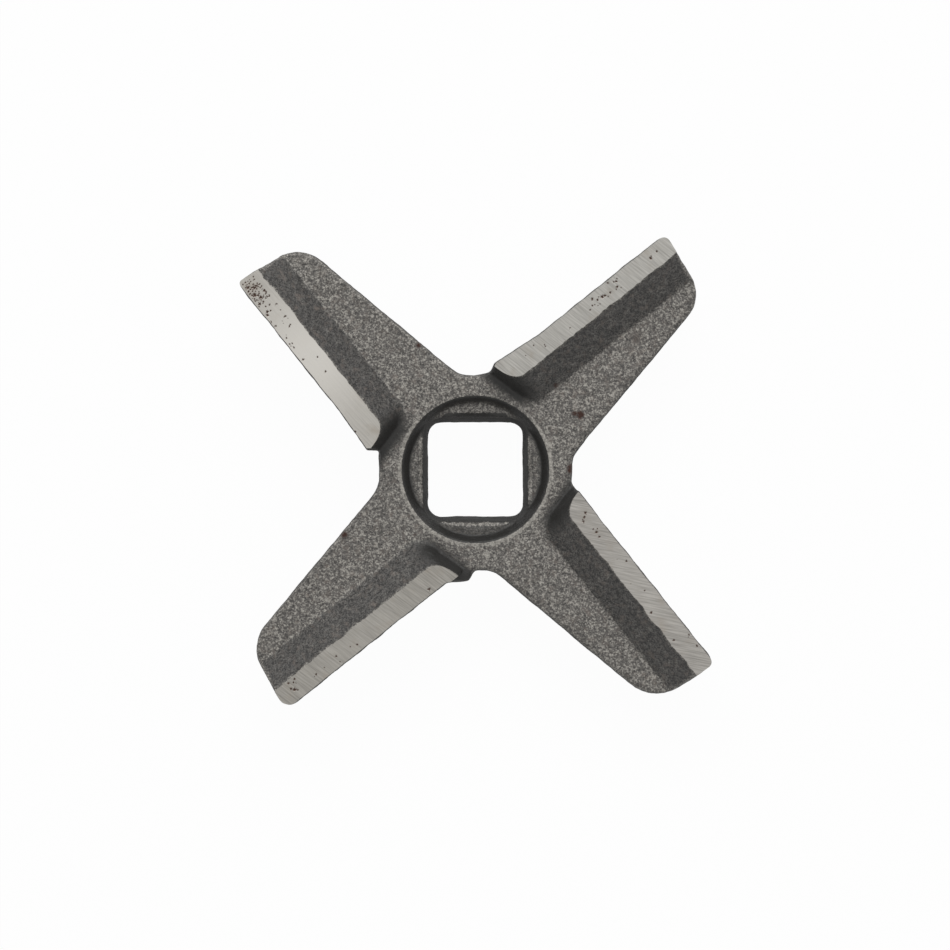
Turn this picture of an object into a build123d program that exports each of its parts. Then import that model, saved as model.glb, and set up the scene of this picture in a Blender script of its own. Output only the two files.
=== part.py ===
from build123d import *
import os
from math import radians, sqrt, tan

# Four-armed knife of a meat grinder, one iron casting with four ground cutting lands.
# Millimetres and degrees. +Z points at the cutting side and the arms turn anticlockwise.
# The origin lies in the middle of the arms, at the back face of the boss.

# Heights
boss_height = 4.5
plate_thickness = 5.0
land_rise = 3.5

# Arms. Headings are of the first arm, whose cutting edge is on its left
arm_count = 4
edge_heading = 38.6
edge_offset = 10.1
trailing_offset = 9.5
arm_taper = 11.7
tip_headings = (83.5, 84.0, 82.0, 87.5)
tip_offsets = (42.1, 42.15, 41.65, 43.2)
tip_rounds = (4.9, 5.1, 5.4, 6.3)
edge_corner_rounds = (1.3, 0.9, 1.9, 1.2)
wall_draft = 2.0

# Hub, square outside, with a foot left by the mould under the root of each cutting edge.
# From the end of the flare inwards the edge leaves its straight line and ends beside it
hub_webs = (1.6, 1.6, 1.8, 1.6)
root_round = 3.8
flare_end = 19.5
flare_blend = 8.0
foot_reaches = (12.15, 12.45, 13.4, 11.6)
foot_flares = (0.75, 0.4, 0.05, 0.15)
foot_rounds = (0.45, 0.45, 1.0, 0.4)
foot_steps = (
    ((0.5, 0.55, 0.0), (2.9, 0.0, 2.0)),
    ((0.0, 0.0, 0.4),),
    ((3.3, 1.65, 0.0), (3.95, 0.0, 0.8)),
    ((0.05, 0.65, 0.0), (1.2, 0.0, 0.5)),
)

# Cutting lands and the ribs that carry them, which start at slightly different places
land_starts = (11.8, 12.1, 11.4, 11.5)
land_widths = (3.4, 3.75, 3.5, 3.4)
land_overhang = 0.15
land_end_round = 2.7
rib_width = 7.9
cliff_run = 1.1
cliff_lean = 15.0
crease_round = 0.6

# Drive hole and recess, made by a core that sat a little off the middle
core_shift = 0.4
drive_square = 13.8
drive_corner_round = 1.75
drive_draft = 5.0
recess_depth = 1.5
recess_overlap = 0.3
recess_slope = 0.9
recess_foot_round = 0.4
rim_round = 0.5
mouth_bevel = 0.9

# Boss on the back
boss_inset = 1.6
boss_draft = 3.0
boss_foot_round = 0.8
boss_edge_round = 0.8

# Worked out from the sizes above
quarter = 360 / arm_count
plate_top = boss_height + plate_thickness
land_plane = plate_top + land_rise
recess_floor = plate_top - recess_depth
clear = 5.0
upright_limit = 0.01  # most that the normal of an upright face rises


def side(heading, offset):
    """A straight side of the outline, that runs so far left of the middle."""
    direction = Vector(1, 0).rotate(Axis.Z, heading)
    return direction.rotate(Axis.Z, 90) * offset, direction


def corner(first, second):
    """The point where two straight sides cross."""
    (start, along), (other_start, other_along) = first, second
    travel = (other_start - start).cross(other_along).Z / along.cross(other_along).Z
    return start + along * travel


cutting_side = side(edge_heading, edge_offset)
trailing_side = side(edge_heading + arm_taper, -trailing_offset)
next_trailing_side = side(edge_heading + arm_taper + quarter, -trailing_offset)
web_start = corner(cutting_side, next_trailing_side).Y
hub_halves = [web_start + web for web in hub_webs]


def arm_corners(arm):
    """Corners and rounds of one arm and of the hub flat after it, anticlockwise."""
    flat_before = side(-90, hub_halves[arm - 1])
    tip_side = side(edge_heading + tip_headings[arm], -tip_offsets[arm])
    start, along = cutting_side
    outward = along.rotate(Axis.Z, 90)
    root = start + along * foot_reaches[arm] + outward * foot_flares[arm]
    corners = [
        corner(flat_before, trailing_side),
        corner(trailing_side, tip_side),
        corner(tip_side, cutting_side),
        start + along * flare_end,
        root,
    ]
    rounds = [
        root_round,
        tip_rounds[arm],
        edge_corner_rounds[arm],
        flare_blend,
        foot_rounds[arm],
    ]
    for back, rise, step_round in foot_steps[arm]:
        corners.append(Vector(root.X - back, hub_halves[arm] + rise))
        rounds.append(step_round)
    turned = [point.rotate(Axis.Z, quarter * arm) for point in corners]
    return turned, rounds


outline_corners = []
outline_rounds = []
for arm in range(arm_count):
    corners, rounds = arm_corners(arm)
    outline_corners += corners
    outline_rounds += rounds

with BuildSketch(Plane.XY.offset(boss_height)) as outline:
    with BuildLine():
        FilletPolyline(outline_corners, radius=outline_rounds, close=True)
    make_face()

# The ribs, each drawn along X from the inner end of its land, which is at the origin
reach = max(tip_offsets) + clear
slope_foot = edge_offset - rib_width
end_lean = Vector(1, 0).rotate(Axis.Z, -90 + cliff_lean)
end_rise = Vector(cliff_run, 0, land_rise)
end_wall = Plane(
    origin=(0, edge_offset, land_plane),
    x_dir=end_lean,
    z_dir=end_rise.cross(end_lean),
)

ribs = []
for flare, land_width in zip(foot_flares, land_widths):
    beyond_edge = edge_offset + max(flare, land_overhang)
    land_inner = edge_offset - land_width
    with BuildPart() as rib:
        with BuildSketch(Plane.YZ.offset(-clear)):
            with BuildLine():
                Polyline(
                    (slope_foot, plate_top),
                    (land_inner, land_plane),
                    (beyond_edge, land_plane),
                    (beyond_edge, plate_top),
                    close=True,
                )
            make_face()
        extrude(amount=reach)
        split(bisect_by=end_wall)
        end_edges = rib.edges().filter_by(lambda edge: edge.center().X < clear)
        fillet(end_edges.sort_by(Axis.Y)[0], land_end_round)
    ribs.append(rib.part)

# Plate with the four ribs on it, wider than the knife
with BuildPart() as relief:
    with BuildSketch(Plane.XY.offset(boss_height)):
        Circle(reach + max(land_starts) + edge_offset)
    extrude(amount=plate_thickness)
    for arm, (land_start, one_rib) in enumerate(zip(land_starts, ribs)):
        with PolarLocations(land_start, 1, edge_heading + quarter * arm):
            add(one_rib)
    rib_feet = relief.edges().filter_by_position(Axis.Z, plate_top, plate_top)
    upright_faces = relief.faces().filter_by(lambda face: abs(face.normal_at().Z) < upright_limit)
    fillet(rib_feet - upright_faces.edges(), crease_round)

# Revolved tool that cuts the recess and the bevel at the mouth of the drive hole
drive_front = drive_square + 2 * recess_floor * tan(radians(drive_draft))
corner_loss = drive_corner_round * (sqrt(2) - 1)
recess_radius = drive_front / sqrt(2) - corner_loss - recess_overlap
bevel_radius = drive_front / 2 + mouth_bevel

with BuildPart() as recess:
    with BuildSketch(Plane.XZ):
        with BuildLine():
            FilletPolyline(
                (0, recess_floor - bevel_radius),
                (bevel_radius, recess_floor),
                (recess_radius, recess_floor),
                (recess_radius + recess_slope, plate_top),
                (recess_radius + recess_slope, plate_top + clear),
                (0, plate_top + clear),
                radius=(0, 0, recess_foot_round, 0, 0, 0),
                close=True,
            )
        make_face()
    revolve(axis=Axis.Z)

with BuildPart() as knife:
    add(outline.sketch)
    extrude(amount=plate_thickness + land_rise)
    outer_walls = knife.faces() - knife.faces().filter_by(Axis.Z)
    draft(outer_walls, Plane.XY.offset(boss_height), wall_draft)
    add(relief.part, mode=Mode.INTERSECT)

    # Boss, drawn at the arms and drafted towards the back
    with BuildSketch(Plane.XY.offset(boss_height)):
        Circle(min(hub_halves) - boss_inset)
    extrude(amount=-boss_height, taper=boss_draft)
    underside_rings = knife.edges().filter_by_position(Axis.Z, boss_height, boss_height)
    fillet(underside_rings.filter_by(GeomType.CIRCLE).sort_by(SortBy.RADIUS)[-1], boss_foot_round)
    fillet(knife.edges().group_by(Axis.Z)[0], boss_edge_round)

    # Recess, then the drive hole, narrowest at the back
    with Locations((0, core_shift)):
        add(recess.part, mode=Mode.SUBTRACT)
    recess_rims = knife.edges().filter_by_position(Axis.Z, plate_top, plate_top)
    fillet(recess_rims.filter_by(GeomType.CIRCLE).sort_by(SortBy.RADIUS)[-1], rim_round)
    with BuildSketch():
        with Locations((0, core_shift)):
            RectangleRounded(drive_square, drive_square, drive_corner_round)
    extrude(amount=plate_top, taper=-drive_draft, mode=Mode.SUBTRACT)

knife.part.label = "knife"

os.makedirs("parts", exist_ok=True)
export_step(knife.part, "parts/knife.step")
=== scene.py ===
from math import radians
from random import Random

import bmesh
import bpy
from mathutils import Matrix, Vector, noise


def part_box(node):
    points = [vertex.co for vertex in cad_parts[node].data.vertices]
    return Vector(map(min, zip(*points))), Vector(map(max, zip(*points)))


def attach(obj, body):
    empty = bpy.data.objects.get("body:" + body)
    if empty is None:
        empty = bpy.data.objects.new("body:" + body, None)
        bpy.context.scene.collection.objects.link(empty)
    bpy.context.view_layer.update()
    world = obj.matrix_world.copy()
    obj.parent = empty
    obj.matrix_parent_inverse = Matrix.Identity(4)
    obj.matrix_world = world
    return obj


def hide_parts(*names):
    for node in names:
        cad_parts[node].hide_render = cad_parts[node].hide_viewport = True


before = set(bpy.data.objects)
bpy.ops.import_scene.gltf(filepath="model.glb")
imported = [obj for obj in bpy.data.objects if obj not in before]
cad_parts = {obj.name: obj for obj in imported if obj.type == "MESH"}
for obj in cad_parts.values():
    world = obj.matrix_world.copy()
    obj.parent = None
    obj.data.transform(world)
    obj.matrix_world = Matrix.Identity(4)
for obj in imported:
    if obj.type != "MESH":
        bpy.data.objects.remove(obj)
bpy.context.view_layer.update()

bl_info = {
    "name": "Meat grinder knife",
    "version": (1, 0, 0),
    "blender": (4, 5, 0),
    "location": "3D View > Sidebar > Knife",
    "description": "Cast iron knife of a meat grinder, its finish, and a stage to see it on",
    "category": "Object",
}

MM = 0.001

# The knife's own sizes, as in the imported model
LAND_RISE, RECESS_DEPTH = 3.5 * MM, 1.5 * MM
LAND_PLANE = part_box("knife")[1][2]
PLATE_TOP = LAND_PLANE - LAND_RISE
RECESS_FLOOR = PLATE_TOP - RECESS_DEPTH
ARMS = 4
ARM_STEP = radians(90)
EDGE_HEADING = radians(38.6)
EDGE_OFFSET = 10.1 * MM
LAND_WIDTHS = (3.4 * MM, 3.75 * MM, 3.5 * MM, 3.4 * MM)
CORE_SHIFT = 0.4 * MM
RECESS_RADIUS = 10.6 * MM

# Zones of the mesh, which are also its material slots
CAST_SIDES, CAST_TOP, FIRST_LAND = 0, 1, 2

# What tells the faces apart
LEVEL_RISE = 0.99  # least rise of a level face's normal
TOP_RISE = 0.3  # least rise of the normal of a face that belongs to the top
TOUCH = 0.01 * MM
UPPER_SIDE = 0.4 * LAND_PLANE  # higher than the underside of the arms

# Pits in the lands: arm, millimetres along it, millimetres across it, radius, depth
PITS = (
    (0, 18.1, 9.1, 0.13, 0.05), (0, 19.4, 8.2, 0.12, 0.05), (0, 23.8, 7.8, 0.13, 0.05),
    (0, 29.0, 9.1, 0.22, 0.10), (0, 29.5, 8.5, 0.20, 0.10), (0, 30.3, 8.4, 0.30, 0.15),
    (0, 30.7, 8.3, 0.24, 0.12), (0, 31.6, 8.2, 0.20, 0.10), (0, 32.2, 9.5, 0.17, 0.07),
    (0, 32.9, 8.2, 0.20, 0.09), (0, 33.3, 8.9, 0.20, 0.09), (0, 39.3, 8.4, 0.27, 0.14),
    (0, 40.6, 8.6, 0.21, 0.10), (0, 18.4, 10.1, 0.20, 0.10),
    (1, 15.5, 10.0, 0.20, 0.12), (1, 25.0, 7.9, 0.17, 0.07), (1, 27.4, 7.5, 0.17, 0.07),
    (1, 28.4, 9.4, 0.17, 0.07), (1, 30.6, 9.3, 0.17, 0.07), (1, 31.4, 9.5, 0.15, 0.07),
    (1, 32.4, 9.3, 0.15, 0.07), (1, 36.7, 9.4, 0.27, 0.13), (1, 37.1, 9.1, 0.25, 0.12),
    (1, 39.8, 7.5, 0.25, 0.12), (1, 39.3, 8.6, 0.27, 0.12), (1, 40.2, 9.0, 0.30, 0.13),
    (1, 41.0, 8.4, 0.27, 0.12), (1, 41.6, 9.1, 0.25, 0.12),
    (2, 15.9, 9.1, 0.24, 0.12), (2, 32.5, 8.3, 0.19, 0.08), (2, 36.4, 8.5, 0.19, 0.08),
    (2, 40.3, 8.3, 0.31, 0.16), (2, 40.6, 7.9, 0.22, 0.10), (2, 39.3, 7.1, 0.20, 0.08),
    (2, 40.4, 7.0, 0.20, 0.08),
    (3, 14.6, 8.8, 0.24, 0.12), (3, 15.0, 8.3, 0.24, 0.12), (3, 15.4, 7.8, 0.20, 0.10),
    (3, 17.8, 8.3, 0.24, 0.12), (3, 18.6, 8.2, 0.20, 0.10), (3, 23.8, 9.1, 0.20, 0.09),
    (3, 31.9, 7.2, 0.22, 0.10), (3, 37.1, 7.3, 0.20, 0.09),
)
# Runs of small pits: arm, from and to along it, from and to across it, how many
PIT_RUNS = (
    (0, 28, 34, 7.6, 9.4, 9), (0, 15, 42, 7.2, 9.6, 5), (1, 30, 33, 9.0, 9.7, 4),
    (1, 33.3, 39, 7.2, 9.7, 26), (1, 38.6, 42.4, 7.4, 9.6, 110),
    (2, 24, 42, 7.2, 9.6, 8), (3, 15, 42, 7.2, 9.6, 9),
)
PIT_SEED = 4
SMALL_PIT_RADIUS, SMALL_PIT_DEPTH = (0.07, 0.16), (0.02, 0.06)

# Rust spots on the cast skin: arm, millimetres along it and across it, radius, strength
RUST_SPOTS = (
    (0, 17.2, -3.0, 0.60, 1.0), (0, 16.6, -2.3, 0.40, 0.8), (0, 17.1, 2.6, 0.45, 0.6),
    (0, 11.3, -8.4, 0.70, 1.0), (0, 30.5, 0.6, 1.60, 0.35), (1, 19.7, -5.1, 0.50, 0.7),
    (2, 20.7, -4.8, 0.60, 0.7), (2, 12.6, 1.6, 0.35, 0.5),
)

UP = Vector((0, 0, 1))
ACROSS_X = Vector((1, 0, 0))
ACROSS_Y = Vector((0, 1, 0))


def linear(hex_colour):
    """A sRGB hex colour as linear red, green, blue and alpha."""
    parts = [int(hex_colour[i:i + 2], 16) / 255 for i in (1, 3, 5)]
    return [p / 12.92 if p <= 0.04045 else ((p + 0.055) / 1.055) ** 2.4 for p in parts] + [1.0]


def arm_axes(arm):
    """Directions along an arm's cutting edge and across it, towards the edge."""
    turn = Matrix.Rotation(EDGE_HEADING + arm * ARM_STEP, 3, "Z")
    return turn @ ACROSS_X, turn @ ACROSS_Y


def arm_place(point, arm):
    """How far a point lies along an arm and across it."""
    along, across = arm_axes(arm)
    return point.dot(along), point.dot(across)


# ---------------------------------------------------------------- settings

class KnifeShape(bpy.types.PropertyGroup):
    """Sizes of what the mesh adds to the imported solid."""
    grid: bpy.props.FloatProperty(
        name="Grid", description="Grid of the first cuts, which each zone splits further",
        default=1.1 * MM, subtype="DISTANCE", unit="LENGTH")
    grit_height: bpy.props.FloatProperty(
        name="Grit height", description="Height of the sand's print on the cast skin",
        default=0.045 * MM, subtype="DISTANCE", unit="LENGTH")
    wave_height: bpy.props.FloatProperty(
        name="Wave height", description="Height of the slow unevenness of the cast skin",
        default=0.07 * MM, subtype="DISTANCE", unit="LENGTH")
    rounding_passes: bpy.props.IntProperty(
        name="Rounding passes", description="How often the cast edges are smoothed",
        default=6, min=0)
    ragged: bpy.props.FloatProperty(
        name="Ragged border", description="How far the inner border of a land wanders",
        default=0.28 * MM, subtype="DISTANCE", unit="LENGTH")
    wavy: bpy.props.FloatProperty(
        name="Wavy edge", description="How far the cutting edge wanders",
        default=0.13 * MM, subtype="DISTANCE", unit="LENGTH")


class KnifeFinish(bpy.types.PropertyGroup):
    """Colours of the knife's finishes."""
    skin: bpy.props.FloatVectorProperty(
        name="Cast skin", description="Colour of the as-cast iron",
        size=4, default=linear("#66635F"), subtype="COLOR")
    skin_dark: bpy.props.FloatVectorProperty(
        name="Cast hollows", description="Colour between the grains of the cast skin",
        size=4, default=linear("#2F2D2B"), subtype="COLOR")
    skin_light: bpy.props.FloatVectorProperty(
        name="Cast grains", description="Colour of the rubbed tips of the grains",
        size=4, default=linear("#B0ACA4"), subtype="COLOR")
    # Scale on the slopes, painted darker as shade; the next is its hollows
    scale: bpy.props.FloatVectorProperty(
        name="Scale", description="Colour of the scale that stays on the slopes",
        size=4, default=linear("#5B5956"), subtype="COLOR")
    scale_hollows_and_shade: bpy.props.FloatVectorProperty(
        name="Scale hollows", description="Colour between the grains on the slopes",
        size=4, default=linear("#1F1E1D"), subtype="COLOR")
    # Dirt in the hollows, and painted shade in creases, below the lands, at their feet and in
    # the hub
    grime_and_shade: bpy.props.FloatVectorProperty(
        name="Grime", description="Colour of the hollows, where scale and grime stay",
        size=4, default=linear("#1F1E1C"), subtype="COLOR")
    # Upright walls: dark scale, painted darker as shade
    shaded_wall: bpy.props.FloatVectorProperty(
        name="Walls", description="Colour of the dark scale on the upright walls",
        size=4, default=linear("#5A5753"), subtype="COLOR")
    rust: bpy.props.FloatVectorProperty(
        name="Rust", description="Colour of the rust specks",
        size=4, default=linear("#3B251D"), subtype="COLOR")
    warm: bpy.props.FloatVectorProperty(
        name="Warm grains", description="Colour of the faintly brown grains of the skin",
        size=4, default=linear("#6F665F"), subtype="COLOR")
    tarnish: bpy.props.FloatVectorProperty(
        name="Tarnish", description="Colour of the brownish patches on the lands",
        size=4, default=linear("#857A6C"), subtype="COLOR")
    # Colour of the painted sheen on the middle of a land
    sheen_lit: bpy.props.FloatVectorProperty(
        name="Polished land", description="Colour where a land is polished by use",
        size=4, default=linear("#BFBCB6"), subtype="COLOR")
    pit: bpy.props.FloatVectorProperty(
        name="Pits", description="Colour of the rust in the pits of the lands",
        size=4, default=linear("#40322C"), subtype="COLOR")


class KnifeStage(bpy.types.PropertyGroup):
    """Floor and light."""
    floor: bpy.props.FloatVectorProperty(
        name="Floor", description="Colour of the floor",
        size=4, default=linear("#F4F4F4"), subtype="COLOR")
    white_share: bpy.props.FloatProperty(
        name="White share", description="How far the floor shows plain white to the camera",
        default=0.97, min=0, max=1)
    sky_strength: bpy.props.FloatProperty(
        name="Sky strength", description="Strength of the even light from all round",
        default=0.35)
    window_power: bpy.props.FloatProperty(
        name="Window power", description="Power of the large soft lamp behind the knife",
        default=9.5, unit="POWER")


# ------------------------------------------------------------------ shape

MERGE_DISTANCE = 0.001 * MM
FLAT_ANGLE = radians(0.3)
GRID_REACH = 50 * MM
CUT_SLACK = 0.03  # of the grid, so that no cut grazes an older edge
GRID_PARTS = ((CAST_SIDES, 2), (CAST_TOP, 4), (FIRST_LAND, 8))
LONGEST_EDGE = 1.5  # of its zone's grid
SPLIT_ROUNDS = 2


def cut_in_steps(bm, faces, direction, places, slack):
    """Cuts the faces at each place along a direction, halving the set each time."""
    reach = [v.co.dot(direction) for f in faces for v in f.verts]
    places = [p for p in places if reach and min(reach) + slack < p < max(reach) - slack]
    if not places:
        return
    middle = len(places) // 2
    edges = {e for f in faces for e in f.edges}
    verts = {v for f in faces for v in f.verts}
    cut = bmesh.ops.bisect_plane(
        bm, geom=list(faces) + list(edges) + list(verts), dist=slack,
        plane_co=direction * places[middle], plane_no=direction)
    below, above = [], []
    for f in cut["geom"]:
        if isinstance(f, bmesh.types.BMFace):
            beyond = f.calc_center_median().dot(direction) > places[middle]
            (above if beyond else below).append(f)
    cut_in_steps(bm, below, direction, places[:middle], slack)
    cut_in_steps(bm, above, direction, places[middle + 1:], slack)


def zone_of(face):
    """Which zone of the knife a face of the merged copy belongs to."""
    middle = face.calc_center_median()
    if face.normal.z > LEVEL_RISE and middle.z > LAND_PLANE - TOUCH:
        for arm in range(ARMS):
            along, across = arm_place(middle, arm)
            if along > 0 and across > 0:
                return FIRST_LAND + arm
    return CAST_TOP if face.normal.z > TOP_RISE else CAST_SIDES


def drop_twins(bm):
    """Deletes pairs of slivers back to back on the same corners, which splitting leaves."""
    bm.verts.index_update()
    waiting, twins = {}, []
    for face in bm.faces:
        corners = [v.index for v in face.verts]
        first = corners.index(min(corners))
        corners = corners[first:] + corners[:first]
        backwards = (corners[0], *reversed(corners[1:]))
        if waiting.get(backwards):
            twins += [face, waiting[backwards].pop()]
        else:
            waiting.setdefault(tuple(corners), []).append(face)
    bmesh.ops.delete(bm, geom=twins, context="FACES")


def dense_copy(shape):
    """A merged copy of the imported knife, cut into a fine even mesh."""
    bm = bmesh.new()
    bm.from_mesh(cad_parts["knife"].data)
    bmesh.ops.remove_doubles(bm, verts=bm.verts, dist=MERGE_DISTANCE)
    bmesh.ops.dissolve_limit(bm, angle_limit=FLAT_ANGLE, verts=bm.verts, edges=bm.edges)
    for face in bm.faces:
        face.material_index = zone_of(face)

    # A coarse grid first, on each land along its own arm
    count = int(GRID_REACH / shape.grid)
    places = [n * shape.grid for n in range(-count, count + 1)]
    cuts = [(CAST_SIDES, (ACROSS_X, ACROSS_Y, UP)), (CAST_TOP, (ACROSS_X, ACROSS_Y))]
    for arm in range(ARMS):
        cuts.append((FIRST_LAND + arm, arm_axes(arm)))
    for zone, directions in cuts:
        for direction in directions:
            faces = [f for f in bm.faces if f.material_index == zone]
            cut_in_steps(bm, faces, direction, places, CUT_SLACK * shape.grid)
    bmesh.ops.triangulate(bm, faces=bm.faces)

    # Then finer triangles, coarsest on the sides and finest on the lands
    for first_zone, parts in GRID_PARTS:
        longest = LONGEST_EDGE * (shape.grid / parts)
        for _ in range(SPLIT_ROUNDS):
            edges = {e for f in bm.faces if f.material_index >= first_zone for e in f.edges}
            long_edges = [e for e in edges if e.calc_length() > longest]
            bmesh.ops.subdivide_edges(bm, edges=long_edges, cuts=1)
            bmesh.ops.triangulate(bm, faces=bm.faces)
            drop_twins(bm)
    return bm


# Where the borders of a land wander, and the sizes and shares of the noise that moves them
WANDER_START, WANDER_FADE, WANDER_WIDTH = 14.0 * MM, 2 * MM, 0.9 * MM
RIB_MIDDLE, RIB_REACH = 8.5 * MM, 3.5 * MM
RAGGED_NOISE = ((0.7 * MM, 0.4), (2.6 * MM, 0.8))
WAVY_NOISE = 3.1 * MM
ARM_APART = 90 * MM  # shift of the noise from arm to arm


def wear_borders(bm, shape):
    """Lets the inner border of each land wander, and its cutting edge a little."""
    for arm in range(ARMS):
        across = arm_axes(arm)[1]
        border = EDGE_OFFSET - LAND_WIDTHS[arm]
        for v in bm.verts:
            u, w = arm_place(v.co, arm)
            if u < WANDER_START or abs(w - RIB_MIDDLE) > RIB_REACH or v.co.z < UPPER_SIDE:
                continue
            fade = min(1.0, (u - WANDER_START) / WANDER_FADE)
            near_border = max(0.0, 1 - ((w - border) / WANDER_WIDTH) ** 2)
            near_edge = max(0.0, 1 - max(0.0, (EDGE_OFFSET - w) / WANDER_WIDTH) ** 2)
            row = Vector((u, ARM_APART * arm, 0))
            ragged = sum(noise.noise(row / size) * share for size, share in RAGGED_NOISE)
            wavy = noise.noise(row / WAVY_NOISE)
            v.co += across * fade * (
                near_border * ragged * shape.ragged + near_edge * wavy * shape.wavy)


def all_pits():
    """The marked pits and the seeded runs of small ones."""
    pits = list(PITS)
    chance = Random(PIT_SEED)
    for arm, start, end, low, high, count in PIT_RUNS:
        for _ in range(count):
            pits.append((
                arm, chance.uniform(start, end), chance.uniform(low, high),
                chance.uniform(*SMALL_PIT_RADIUS), chance.uniform(*SMALL_PIT_DEPTH)))
    return pits


# Shape of a pit: reach in its radii, unevenness and its size, and how deep and dark it is
PIT_REACH, PIT_UNEVEN, PIT_UNEVEN_SIZE = 1.6, 0.7, 0.16 * MM
PIT_SINK, PIT_DARKNESS = 0.5, 1.4
PIT_MESH_REACH, PIT_MESH_MARGIN = 1.3, 0.07 * MM


def pit_lands(bm):
    """Sinks the pits into the lands, with a finer mesh round each, and marks them."""
    by_arm = [[] for _ in range(ARMS)]
    for arm, u, w, radius, depth in all_pits():
        along, across = arm_axes(arm)
        middle = along * u * MM + across * w * MM + UP * LAND_PLANE
        by_arm[arm].append((middle, radius * MM, depth * MM))
    finer = set()
    for face in bm.faces:
        if face.material_index < FIRST_LAND:
            continue
        centre = face.calc_center_median()
        for middle, radius, _ in by_arm[face.material_index - FIRST_LAND]:
            if (centre - middle).length < PIT_MESH_REACH * radius + PIT_MESH_MARGIN:
                finer.update(face.edges)
                break
    bmesh.ops.subdivide_edges(bm, edges=list(finer), cuts=1)
    bmesh.ops.triangulate(bm, faces=bm.faces)
    mark = bm.verts.layers.float.new("pit")
    for v in bm.verts:
        lands = [f.material_index for f in v.link_faces if f.material_index >= FIRST_LAND]
        if not lands:
            continue
        for middle, radius, depth in by_arm[lands[0] - FIRST_LAND]:
            reach = (v.co - middle).length / radius
            if reach < PIT_REACH:
                reach *= 1 + PIT_UNEVEN * noise.noise(v.co / PIT_UNEVEN_SIZE)
                dip = max(0.0, 1 - reach ** 2)
                v.co.z -= PIT_SINK * depth * dip
                v[mark] = max(v[mark], min(1.0, PIT_DARKNESS * dip))


def round_cast_edges(bm, passes):
    """Softens every edge of the casting and leaves the ground lands flat and crisp."""
    cast = [v for v in bm.verts if all(f.material_index < FIRST_LAND for f in v.link_faces)]
    for _ in range(passes):
        bmesh.ops.smooth_vert(
            bm, verts=cast, factor=0.5, use_axis_x=True, use_axis_y=True, use_axis_z=True)


# Sizes of the noise in the cast skin, and the share of each slow wave
GRIT_NOISE = 0.7 * MM
WAVE_NOISE = ((3.5 * MM, 1.0), (1.5 * MM, 0.8))


def roughen_cast_skin(bm, shape):
    """Prints the sand of the mould into the casting, and keeps it off the floor."""
    bm.normal_update()
    moves = []
    for v in bm.verts:
        if any(f.material_index >= FIRST_LAND for f in v.link_faces):
            continue
        grit = noise.noise(v.co / GRIT_NOISE) * shape.grit_height
        wave = sum(share * noise.noise(v.co / size) for size, share in WAVE_NOISE)
        moves.append((v, v.normal * (grit + wave * shape.wave_height)))
    for v, move in moves:
        v.co += move
        v.co.z = max(v.co.z, 0.0)


# ------------------------------------------------------------------ marks

def spread(bm, values, passes):
    """Evens out a value per vertex over its neighbours."""
    for _ in range(passes):
        sums, counts = list(values), [1] * len(values)
        for edge in bm.edges:
            a, b = edge.verts[0].index, edge.verts[1].index
            sums[a] += values[b]
            sums[b] += values[a]
            counts[a] += 1
            counts[b] += 1
        values = [total / count for total, count in zip(sums, counts)]
    return values


def between(value, start, end):
    """How far a value has come from start to end, from 0 to 1."""
    return min(1.0, max(0.0, (value - start) / (end - start)))


# The painted shade at the foot of a land's inner end, along the arm and across it
FOOT_DARKNESS, FOOT_LEAN = 0.95, 0.25
FOOT_START, FOOT_END = (11.1 * MM, 12.7 * MM), (17 * MM, 14 * MM)
FOOT_SIDE = (1.5 * MM, 4.5 * MM)
FOOT_DEPTH, FOOT_BELOW_LAND = 0.4 * MM, 0.02 * MM


def foot_shade(point):
    """How dark the painted shade at the foot of a land's inner end is at a point."""
    if not PLATE_TOP - FOOT_DEPTH < point.z < LAND_PLANE - FOOT_BELOW_LAND:
        return 0.0
    for arm in range(ARMS):
        u, w = arm_place(point, arm)
        if u > 0 and w > 0:
            leaning = u + FOOT_LEAN * w
            return (FOOT_DARKNESS * between(leaning, *FOOT_START)
                    * between(leaning, *FOOT_END) * between(w, *FOOT_SIDE))
    return 0.0


# Wear, dirt and painted light and shade in the hub. Reaches are from the hole's middle, and its
# far side is +Y
MOUTH, BEVEL = 7.75 * MM, 8.3 * MM
HUB_REACH = RECESS_RADIUS + 0.8 * MM
LIP_REACH, LIP_DEPTH = RECESS_RADIUS + 0.2 * MM, 0.5 * MM
# The recess's lip: worn light, with a painted highlight that fades out towards the far side
LIP_WEAR_AND_HIGHLIGHT, NEAR_LIP_HIGHLIGHT, FAR_LIP = 1.0, 0.6, (0.4, 0.9)
FLOOR_DEPTH, BEVEL_REACH = 0.9 * MM, 9.2 * MM
# The recess's floor: lighter towards the far side and darker towards the near side
FAR_FLOOR_LIGHTENING, FLOOR_DARKENING, NEAR_FLOOR_DARKENING = 0.8, 0.05, 0.6
FLOOR_SPAN, FAR_FLOOR = (8 * MM, -9 * MM), (0.6, 0.9)
# Painted shade at the foot of the recess's wall, which starts further out on the far side
RIM_SHADE, RIM_START, FAR_RIM_SHIFT, RIM_WIDTH = 0.95, 8.8 * MM, 0.5 * MM, 1.0 * MM
# The hole's mouth: painted shade on its far side, and wear with a painted highlight on the rest
# of it
SHADED_MOUTH_WIDTH, MOUTH_SHADE, BEVEL_WEAR_AND_HIGHLIGHT = 5.5 * MM, 0.9, 1.2
# Painted shade on the walls of the hole, darker on its near side
NEAR_HOLE_SHADE, FAR_HOLE_SHADE = 0.95, 0.75


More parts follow.
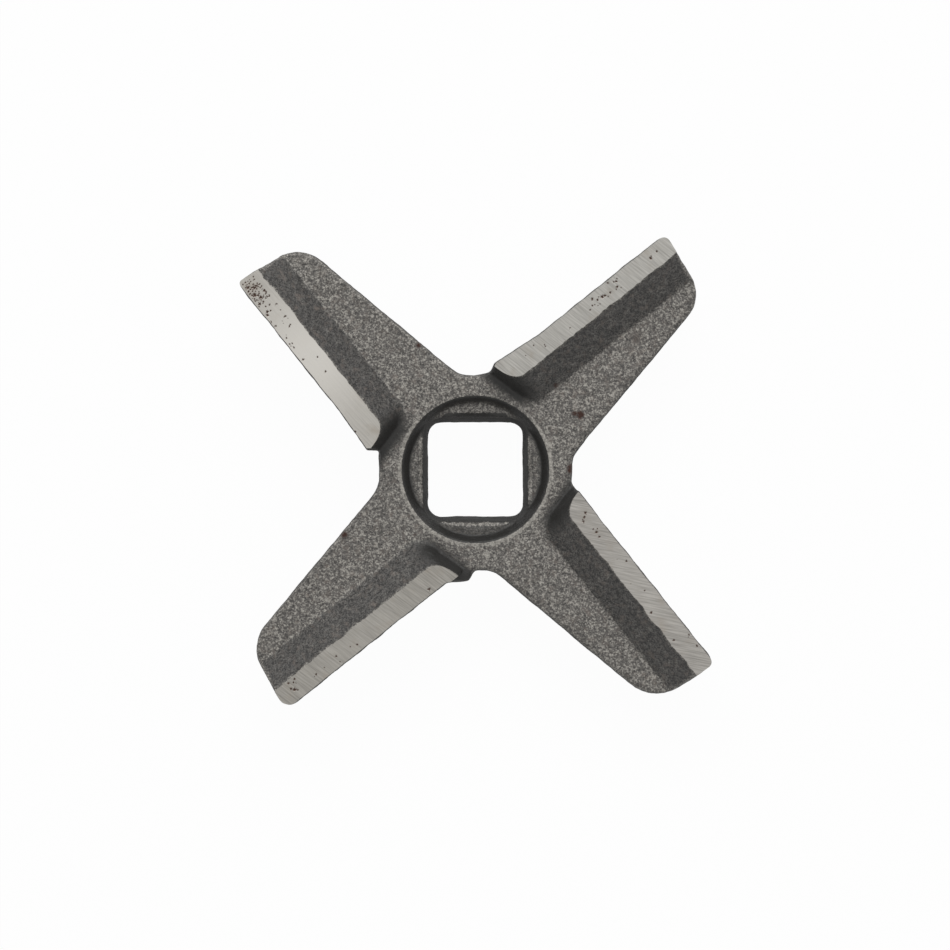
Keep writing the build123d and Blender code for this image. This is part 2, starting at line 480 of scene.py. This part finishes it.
def hub_wear_and_shading(point, wear_and_highlight, dirt_and_shade):
    """Wear and dirt with painted light and shade at a point, which differ from those given in
    the hub and near it.
    """
    x, y, z = point
    y -= CORE_SHIFT
    out, square = Vector((x, y)).length, max(abs(x), abs(y))
    if out > HUB_REACH:
        return wear_and_highlight, max(dirt_and_shade, foot_shade(point))
    if out > LIP_REACH and z > PLATE_TOP - LIP_DEPTH:
        return LIP_WEAR_AND_HIGHLIGHT + NEAR_LIP_HIGHLIGHT * (1 - between(y / out, *FAR_LIP)), dirt_and_shade
    if z > RECESS_FLOOR - FLOOR_DEPTH and (square > MOUTH or out > BEVEL_REACH):
        if MOUTH < square < BEVEL and out < BEVEL_REACH:
            shaded_mouth = y > MOUTH and abs(x) < SHADED_MOUTH_WIDTH
            return (0.0, MOUTH_SHADE) if shaded_mouth else (BEVEL_WEAR_AND_HIGHLIGHT, 0.0)
        far = between(y / out, *FAR_FLOOR)
        rim = RIM_START + FAR_RIM_SHIFT * far
        return FAR_FLOOR_LIGHTENING * far, max(
            FLOOR_DARKENING + NEAR_FLOOR_DARKENING * between(y, *FLOOR_SPAN),
            RIM_SHADE * between(out, rim, rim + RIM_WIDTH))
    if z < RECESS_FLOOR:
        return wear_and_highlight, NEAR_HOLE_SHADE if y < 0 else FAR_HOLE_SHADE
    return wear_and_highlight, dirt_and_shade


# Bends at which a bulge starts to show wear and a hollow dirt with painted shade, and at which
# they show fully, and how often the marks are evened out
WORN_BEND, DIRT_AND_SHADE_BEND, BEND_PASSES = (0.2, 0.8), (-0.10, -0.60), 2
LEVEL_ON_LAND, LEVEL_PASSES = 0.6, 7


def mark_wear_and_shading(bm):
    """Marks bulges, which are rubbed light, hollows, which hold dirt and painted shade, and how
    level it is. In the hub it also marks painted light and shade.
    """
    bm.normal_update()
    bm.verts.index_update()
    wear_and_highlight, dirt_and_shade, level = (bm.verts.layers.float.new(n) for n in ("wear_and_highlight", "dirt_and_shade", "level"))
    bends, rises = [], []  # bends are per millimetre
    for v in bm.verts:
        offset, span = Vector(), 0.0
        for edge in v.link_edges:
            step = edge.other_vert(v).co - v.co
            offset += step
            span += step.length
        count = len(v.link_edges)
        bends.append(-2 * MM * offset.dot(v.normal) * count / span ** 2)
        on_land = any(f.material_index >= FIRST_LAND for f in v.link_faces)
        rises.append(LEVEL_ON_LAND if on_land else v.normal.z)
    bends, rises = spread(bm, bends, BEND_PASSES), spread(bm, rises, LEVEL_PASSES)
    for v, bend, rise in zip(bm.verts, bends, rises):
        v[wear_and_highlight], v[dirt_and_shade] = hub_wear_and_shading(
            v.co, between(bend, *WORN_BEND), between(bend, *DIRT_AND_SHADE_BEND))
        v[level] = rise


# How far a rust spot fades out, in its radii, and where the dark line of painted shade lies on a
# slope
RUST_REACH = 1.5
LINE_DEPTH, LINE_START = 0.55 * MM, 0.3 * MM


def mark_spots(bm):
    """Marks the rust spots, and the dark line of painted shade on the slope just below each
    land.
    """
    rust = bm.verts.layers.float.new("rust")
    line = bm.verts.layers.float.new("border_shade")
    spots = []
    for arm, u, w, radius, strength in RUST_SPOTS:
        along, across = arm_axes(arm)
        spots.append(((along * u * MM + across * w * MM).to_2d(), radius * MM, strength))
    for v in bm.verts:
        flat = v.co.to_2d()
        for middle, radius, strength in spots:
            reach = (flat - middle).length / radius
            if reach < RUST_REACH and v.co.z > UPPER_SIDE:
                v[rust] = max(v[rust], strength * (RUST_REACH - reach))
        on_slope = PLATE_TOP + LINE_START < v.co.z < LAND_PLANE - TOUCH
        if on_slope and v.normal.z > TOP_RISE:
            v[line] = max(0.0, 1 - (LAND_PLANE - v.co.z) / LINE_DEPTH)


class OBJECT_OT_grinder_knife(bpy.types.Operator):
    """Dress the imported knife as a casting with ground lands"""
    bl_idname = "object.grinder_knife"
    bl_label = "Knife"

    def execute(self, context):
        shape = context.scene.knife_shape
        bm = dense_copy(shape)
        round_cast_edges(bm, shape.rounding_passes)
        wear_borders(bm, shape)
        pit_lands(bm)
        mark_wear_and_shading(bm)
        mark_spots(bm)
        roughen_cast_skin(bm, shape)
        for face in bm.faces:
            face.smooth = True
        for edge in bm.edges:
            zones = {f.material_index >= FIRST_LAND for f in edge.link_faces}
            edge.smooth = len(zones) == 1
        mesh = bpy.data.meshes.new("cast_knife")
        bm.to_mesh(mesh)
        bm.free()
        knife = bpy.data.objects.new("cast_knife", mesh)
        context.scene.collection.objects.link(knife)

        # The sides and the top share the cast skin
        finish = context.scene.knife_finish
        skin = sand_cast_iron(finish)
        lands = [ground_iron(finish, arm) for arm in range(ARMS)]
        for material in (skin, skin, *lands):
            mesh.materials.append(material)
        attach(knife, "root")
        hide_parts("knife")
        print("triangles", len(mesh.polygons))
        return {"FINISHED"}


# --------------------------------------------------------------- finishes

# Of each land: degrees from the arm to its strokes, their contrast, from which noise
# value dark specks start, how strong the painted sheen on its middle is, and its tone
LANDS = (
    (103, 0.25, 0.74, 0.0, "#9D9B96"), (4, 0.14, 0.76, 0.9, "#A3A09A"),
    (105, 0.26, 0.74, 0.1, "#8F8C86"), (40, 0.30, 0.76, 0.1, "#95928D"),
)

# Sizes of the sand's grains and clumps, of patches of tone, and of the wheel's strokes
COARSE_GRIT, FINE_GRIT, CLUMPS, TINT = 0.52 * MM, 0.24 * MM, 1.6 * MM, 0.9 * MM
GRIT_BUMP = 0.16 * MM
STROKE_WIDTH, STROKE_STRETCH, STROKE_BUMP = 0.22 * MM, 20.0, 0.01 * MM
PATCHES, SPECKS, SPECK_BLEND = 2.6 * MM, 0.32 * MM, 0.20

# Where the painted sheen on the middle of a land lies, along the arm and across it, and how far
# it goes
SHEEN_ALONG, SHEEN_ACROSS = 28 * MM, 8 * MM
SHEEN_END, SHEEN_FULL = 14 * MM, 1 * MM


def add_node(tree, kind, settings=None, inputs=None, stops=()):
    """Adds a node with its settings, its inputs, linked or plain, and a ramp's stops.

    Inputs that share a name go by number. On a Mix node 2 and 3 are its numbers and 6
    and 7 its colours, and output 2 is the mixed colour.
    """
    node = tree.nodes.new(kind)
    for name, value in (settings or {}).items():
        setattr(node, name, value)
    for name, value in (inputs or {}).items():
        if isinstance(value, bpy.types.NodeSocket):
            tree.links.new(value, node.inputs[name])
        else:
            node.inputs[name].default_value = value
    for number, (position, colour) in enumerate(stops):
        elements = node.color_ramp.elements
        element = elements[number] if number < len(elements) else elements.new(position)
        element.position, element.color = position, colour
    return node


def new_material(name):
    """An empty material with only its output node."""
    material = bpy.data.materials.new(name)
    material.use_nodes = True
    tree = material.node_tree
    tree.nodes.clear()
    return material, tree, tree.nodes.new("ShaderNodeOutputMaterial")


def lay_over(tree, tone, layers):
    """Covers a tone with layers, each of them where its value has come from start to full.

    A layer is its value, start, full, colour and how far it covers. The last tone and the
    shares of the layers are returned.
    """
    shares = []
    for value, start, full, colour, cover in layers:
        share = add_node(
            tree, "ShaderNodeMapRange", {"interpolation_type": "SMOOTHSTEP"},
            {"Value": value, "From Min": start, "From Max": full, "To Max": cover})
        shares.append(share.outputs[0])
        tone = add_node(tree, "ShaderNodeMix", {"data_type": "RGBA"},
                        {"Factor": shares[-1], 6: tone, 7: colour}).outputs[2]
    return tone, shares


def sand_cast_iron(finish):
    """Grey iron with the skin that its sand mould gave it."""
    # To the eye it is a dull dark skin with a sparkling grit. The flats are tumbled light,
    # and the edges more so. Slopes and hollows keep dark scale and are painted darker as shade,
    # and upright walls are painted darkest as shade. Painted shade also lies just below the
    # lands, at the feet of their inner ends and in the hub, whose lip and mouth get painted
    # highlights. A few grains are brownish, and some spots have rusted.
    material, tree, output = new_material("sand_cast_iron")
    place = add_node(tree, "ShaderNodeTexCoord")
    facing = add_node(tree, "ShaderNodeSeparateXYZ", inputs={0: place.outputs["Normal"]})
    coarse, fine, clumps, tint = (
        add_node(tree, "ShaderNodeTexNoise", inputs={
            "Vector": place.outputs["Object"], "Scale": 1 / size,
            "Detail": detail, "Roughness": roughness}).outputs["Fac"]
        for size, detail, roughness in (
            (COARSE_GRIT, 3.0, 0.6), (FINE_GRIT, 2.0, 0.6), (CLUMPS, 2.0, 0.5), (TINT, 3.0, 0.5),
        ))
    level, wear_and_highlight, dirt_and_shade, line, rust = (
        add_node(tree, "ShaderNodeAttribute", {"attribute_name": name}).outputs["Fac"]
        for name in ("level", "wear_and_highlight", "dirt_and_shade", "border_shade", "rust"))
    grit = add_node(tree, "ShaderNodeMix", {"data_type": "FLOAT"},
                    {"Factor": 0.6, 2: coarse, 3: fine}).outputs[0]

    # Tones from the hollows between the grains to their tips. The slope and wall tones are
    # darker copies of the skin: scale, and painted shade
    flat, slope, rubbed_and_highlit, shaded_wall = (
        add_node(tree, "ShaderNodeValToRGB", inputs={"Fac": grit}, stops=stops).outputs["Color"]
        for stops in (
            ((0.36, finish.skin_dark), (0.50, finish.skin), (0.62, finish.skin_light)),
            ((0.42, finish.scale_hollows_and_shade), (0.59, finish.scale)),
            ((0.36, finish.skin), (0.60, finish.skin_light)),
            ((0.38, finish.scale_hollows_and_shade), (0.62, finish.shaded_wall)),
        ))

    # Clumps of grains make the borders of the marks ragged
    ragged_level, ragged_wear_and_highlight = (
        add_node(tree, "ShaderNodeMath", {"operation": "MULTIPLY_ADD"},
                 {0: clumps, 1: amount, 2: mark}).outputs[0]
        for amount, mark in ((0.22, level), (0.8, wear_and_highlight)))
    tips = add_node(tree, "ShaderNodeMapRange", {"interpolation_type": "SMOOTHSTEP"},
                    {"Value": grit, "From Min": 0.30, "From Max": 0.55})
    rusty = add_node(tree, "ShaderNodeMath", {"operation": "MULTIPLY"},
                     {0: rust, 1: tips.outputs[0]})
    tone, shares = lay_over(tree, slope, (
        (ragged_level, 0.86, 1.10, flat, 1.0),  # level faces
        (tint, 0.50, 0.90, finish.warm, 1.0),  # brownish grains
        (facing.outputs["Z"], 0.60, 0.10, shaded_wall, 1.0),  # upright walls, dark scale and painted shade
        (ragged_wear_and_highlight, 0.5, 1.3, flat, 1.0),  # worn edges, and the hub's wear with painted highlights
        (ragged_wear_and_highlight, 1.4, 2.0, rubbed_and_highlit, 1.0),  # the recess's lip, worn most and with a painted highlight
        (dirt_and_shade, 0.0, 1.0, finish.grime_and_shade, 1.0),  # hollows: dirt and painted shade, also at the lands' feet and in the hub
        (line, 0.2, 1.4, finish.grime_and_shade, 1.0),  # painted shade just below each land
        (rusty.outputs[0], 0.15, 0.75, finish.rust, 1.0),  # rust spots
    ))
    upright, rusted = shares[2], shares[-1]
    dull = add_node(tree, "ShaderNodeMath", {"operation": "MAXIMUM"}, {0: upright, 1: rusted})
    metallic, roughness = (
        add_node(tree, "ShaderNodeMapRange", inputs={
            "Value": dull.outputs[0], "To Min": bright, "To Max": dulled}).outputs[0]
        for bright, dulled in ((0.15, 0.0), (0.5, 0.9)))
    bump = add_node(tree, "ShaderNodeBump",
                    inputs={"Height": grit, "Strength": 1.0, "Distance": GRIT_BUMP})
    shader = add_node(tree, "ShaderNodeBsdfPrincipled", inputs={
        "Base Color": tone, "Metallic": metallic, "Roughness": roughness,
        "Normal": bump.outputs["Normal"]})
    tree.links.new(shader.outputs["BSDF"], output.inputs["Surface"])
    return material


def ground_iron(finish, arm):
    """Grey iron from the surface grinder."""
    # To the eye it is bright metal with the wheel's fine strokes. Each land was ground on
    # its own pass, so its strokes run their own way. Old pits stay below the ground face
    # and hold rust, and handling has left faint brownish patches. Real strokes are too
    # fine to show, so these are drawn as wide as they need to be.
    material, tree, output = new_material(f"ground_iron_{arm}")
    heading, contrast, first_speck, sheen, base_hex = LANDS[arm]
    along, across = arm_axes(arm)
    spot = add_node(tree, "ShaderNodeTexCoord").outputs["Object"]
    turned = add_node(tree, "ShaderNodeMapping", {"vector_type": "TEXTURE"}, {
        "Vector": spot, "Scale": (STROKE_STRETCH, 1.0, 1.0),
        "Rotation": (0.0, 0.0, EDGE_HEADING + arm * ARM_STEP + radians(heading))})
    strokes, patches, specks = (
        add_node(tree, "ShaderNodeTexNoise", inputs={
            "Vector": vector, "Scale": 1 / size,
            "Detail": detail, "Roughness": roughness}).outputs["Fac"]
        for vector, size, detail, roughness in (
            (turned.outputs[0], STROKE_WIDTH, 3.0, 0.6), (spot, PATCHES, 2.0, 0.5),
            (spot, SPECKS, 1.0, 0.5),
        ))
    base = linear(base_hex)
    dark, light = (
        [c * (1 + change) for c in base[:3]] + [1.0] for change in (-contrast, contrast))
    tone = add_node(tree, "ShaderNodeValToRGB", inputs={"Fac": strokes},
                    stops=((0.30, dark), (0.70, light))).outputs["Color"]
    off_middle = add_node(tree, "ShaderNodeVectorMath", {"operation": "DISTANCE"}, {
        0: spot, 1: along * SHEEN_ALONG + across * SHEEN_ACROSS + UP * LAND_PLANE})
    pit = add_node(tree, "ShaderNodeAttribute", {"attribute_name": "pit"}).outputs["Fac"]
    tone, _ = lay_over(tree, tone, (
        # Patches from handling, a painted sheen on the middle, and pits that are too fine to
        # sink
        (patches, 0.50, 1.1, finish.tarnish, 1.0),
        (off_middle.outputs["Value"], SHEEN_END, SHEEN_FULL, finish.sheen_lit, sheen),
        (specks, first_speck, first_speck + SPECK_BLEND, finish.pit, 1.0),
    ))
    tone = add_node(tree, "ShaderNodeMix", {"data_type": "RGBA"},
                    {"Factor": pit, 6: tone, 7: finish.pit}).outputs[2]
    rough = add_node(tree, "ShaderNodeMapRange", inputs={
        "Value": strokes, "From Min": 0.3, "From Max": 0.7, "To Min": 0.52, "To Max": 0.40})
    bump = add_node(tree, "ShaderNodeBump",
                    inputs={"Height": strokes, "Strength": 0.5, "Distance": STROKE_BUMP})
    shader = add_node(tree, "ShaderNodeBsdfPrincipled", inputs={
        "Base Color": tone, "Metallic": 1.0, "Roughness": rough.outputs[0],
        "Normal": bump.outputs["Normal"]})
    tree.links.new(shader.outputs["BSDF"], output.inputs["Surface"])
    return material


# ------------------------------------------------------------------ stage

VIEW_WIDTH = 138.9 * MM  # at the height of the arms' top
CAMERA_HEIGHT = 600 * MM
CAMERA_PLACE = (-0.063 * MM, -0.418 * MM, CAMERA_HEIGHT)
SENSOR = 36.0
FLOOR_SIZE = 3.0
LAMP_SIZE, LAMP_PLACE = (1.2, 0.6), (0.0, 0.90, 0.75)


def hang_lamp(scene, power):
    """A rectangular soft lamp that points at the knife."""
    lamp = bpy.data.lights.new("window_lamp", "AREA")
    lamp.shape = "RECTANGLE"
    lamp.size, lamp.size_y = LAMP_SIZE
    lamp.energy = power
    holder = bpy.data.objects.new("window_lamp", lamp)
    holder.location = LAMP_PLACE
    holder.rotation_euler = (-holder.location).to_track_quat("-Z", "Y").to_euler()
    scene.collection.objects.link(holder)


class OBJECT_OT_knife_stage(bpy.types.Operator):
    """Put the floor, the lamp and the camera round the knife"""
    bl_idname = "object.knife_stage"
    bl_label = "Stage"

    def execute(self, context):
        scene = context.scene
        stage = scene.knife_stage
        bpy.ops.mesh.primitive_plane_add(size=FLOOR_SIZE, location=(0, 0, 0))
        floor = context.object
        floor.name = "floor"
        floor.data.materials.append(pale_floor(stage))

        scene.world = white_studio(stage)
        hang_lamp(scene, stage.window_power)

        lens = bpy.data.cameras.new("camera")
        lens.sensor_width = SENSOR
        lens.lens = SENSOR * (CAMERA_HEIGHT - PLATE_TOP) / VIEW_WIDTH
        camera = bpy.data.objects.new("camera", lens)
        camera.location = CAMERA_PLACE
        scene.collection.objects.link(camera)
        scene.camera = camera
        scene.view_settings.view_transform = "Standard"
        return {"FINISHED"}


def shown_white(tree, share):
    """How far a backdrop shows plain white, which lamps and diffuse light never see."""
    rays = add_node(tree, "ShaderNodeLightPath")
    seen = rays.outputs["Is Camera Ray"]
    for kind in ("Is Glossy Ray", "Is Transmission Ray"):
        seen = add_node(tree, "ShaderNodeMath", {"operation": "MAXIMUM"},
                        {0: seen, 1: rays.outputs[kind]}).outputs[0]
    return add_node(tree, "ShaderNodeMapRange",
                    inputs={"Value": seen, "To Max": share}).outputs[0]


def white_studio(stage):
    """Even white light from all round, weak on what it lights and white where it is seen."""
    world = bpy.data.worlds.new("white_studio")
    world.use_nodes = True
    tree = world.node_tree
    tree.nodes.clear()
    output = tree.nodes.new("ShaderNodeOutputWorld")
    light, white = (
        add_node(tree, "ShaderNodeBackground",
                 inputs={"Color": (1, 1, 1, 1), "Strength": strength}).outputs[0]
        for strength in (stage.sky_strength, 1.0))
    blend = add_node(tree, "ShaderNodeMixShader",
                     inputs={0: shown_white(tree, 1.0), 1: light, 2: white})
    tree.links.new(blend.outputs[0], output.inputs["Surface"])
    return world


def pale_floor(stage):
    """Matt white board, which shows white to the camera and keeps the shadow."""
    material, tree, output = new_material("white_board")
    board = add_node(tree, "ShaderNodeBsdfDiffuse", inputs={"Color": stage.floor})
    glow = add_node(tree, "ShaderNodeEmission", inputs={"Strength": 1.0})
    blend = add_node(tree, "ShaderNodeMixShader", inputs={
        0: shown_white(tree, stage.white_share), 1: board.outputs[0], 2: glow.outputs[0]})
    tree.links.new(blend.outputs[0], output.inputs["Surface"])
    return material


class VIEW3D_PT_grinder_knife(bpy.types.Panel):
    """The knife's pieces and settings"""
    bl_idname = "VIEW3D_PT_grinder_knife"
    bl_label = "Meat grinder knife"
    bl_space_type = "VIEW_3D"
    bl_region_type = "UI"
    bl_category = "Knife"

    def draw(self, context):
        for group, operator in (
            (context.scene.knife_shape, OBJECT_OT_grinder_knife.bl_idname),
            (context.scene.knife_finish, None),
            (context.scene.knife_stage, OBJECT_OT_knife_stage.bl_idname),
        ):
            box = self.layout.box()
            for name in type(group).__annotations__:
                box.prop(group, name)
            if operator:
                box.operator(operator)


CLASSES = (
    KnifeShape, KnifeFinish, KnifeStage,
    OBJECT_OT_grinder_knife, OBJECT_OT_knife_stage, VIEW3D_PT_grinder_knife,
)


def register():
    for cls in CLASSES:
        bpy.utils.register_class(cls)
    bpy.types.Scene.knife_shape = bpy.props.PointerProperty(type=KnifeShape)
    bpy.types.Scene.knife_finish = bpy.props.PointerProperty(type=KnifeFinish)
    bpy.types.Scene.knife_stage = bpy.props.PointerProperty(type=KnifeStage)


def unregister():
    del bpy.types.Scene.knife_stage
    del bpy.types.Scene.knife_finish
    del bpy.types.Scene.knife_shape
    for cls in reversed(CLASSES):
        bpy.utils.unregister_class(cls)


def main():
    register()
    bpy.ops.object.grinder_knife()
    bpy.ops.object.knife_stage()


if __name__ == "__main__":
    main()
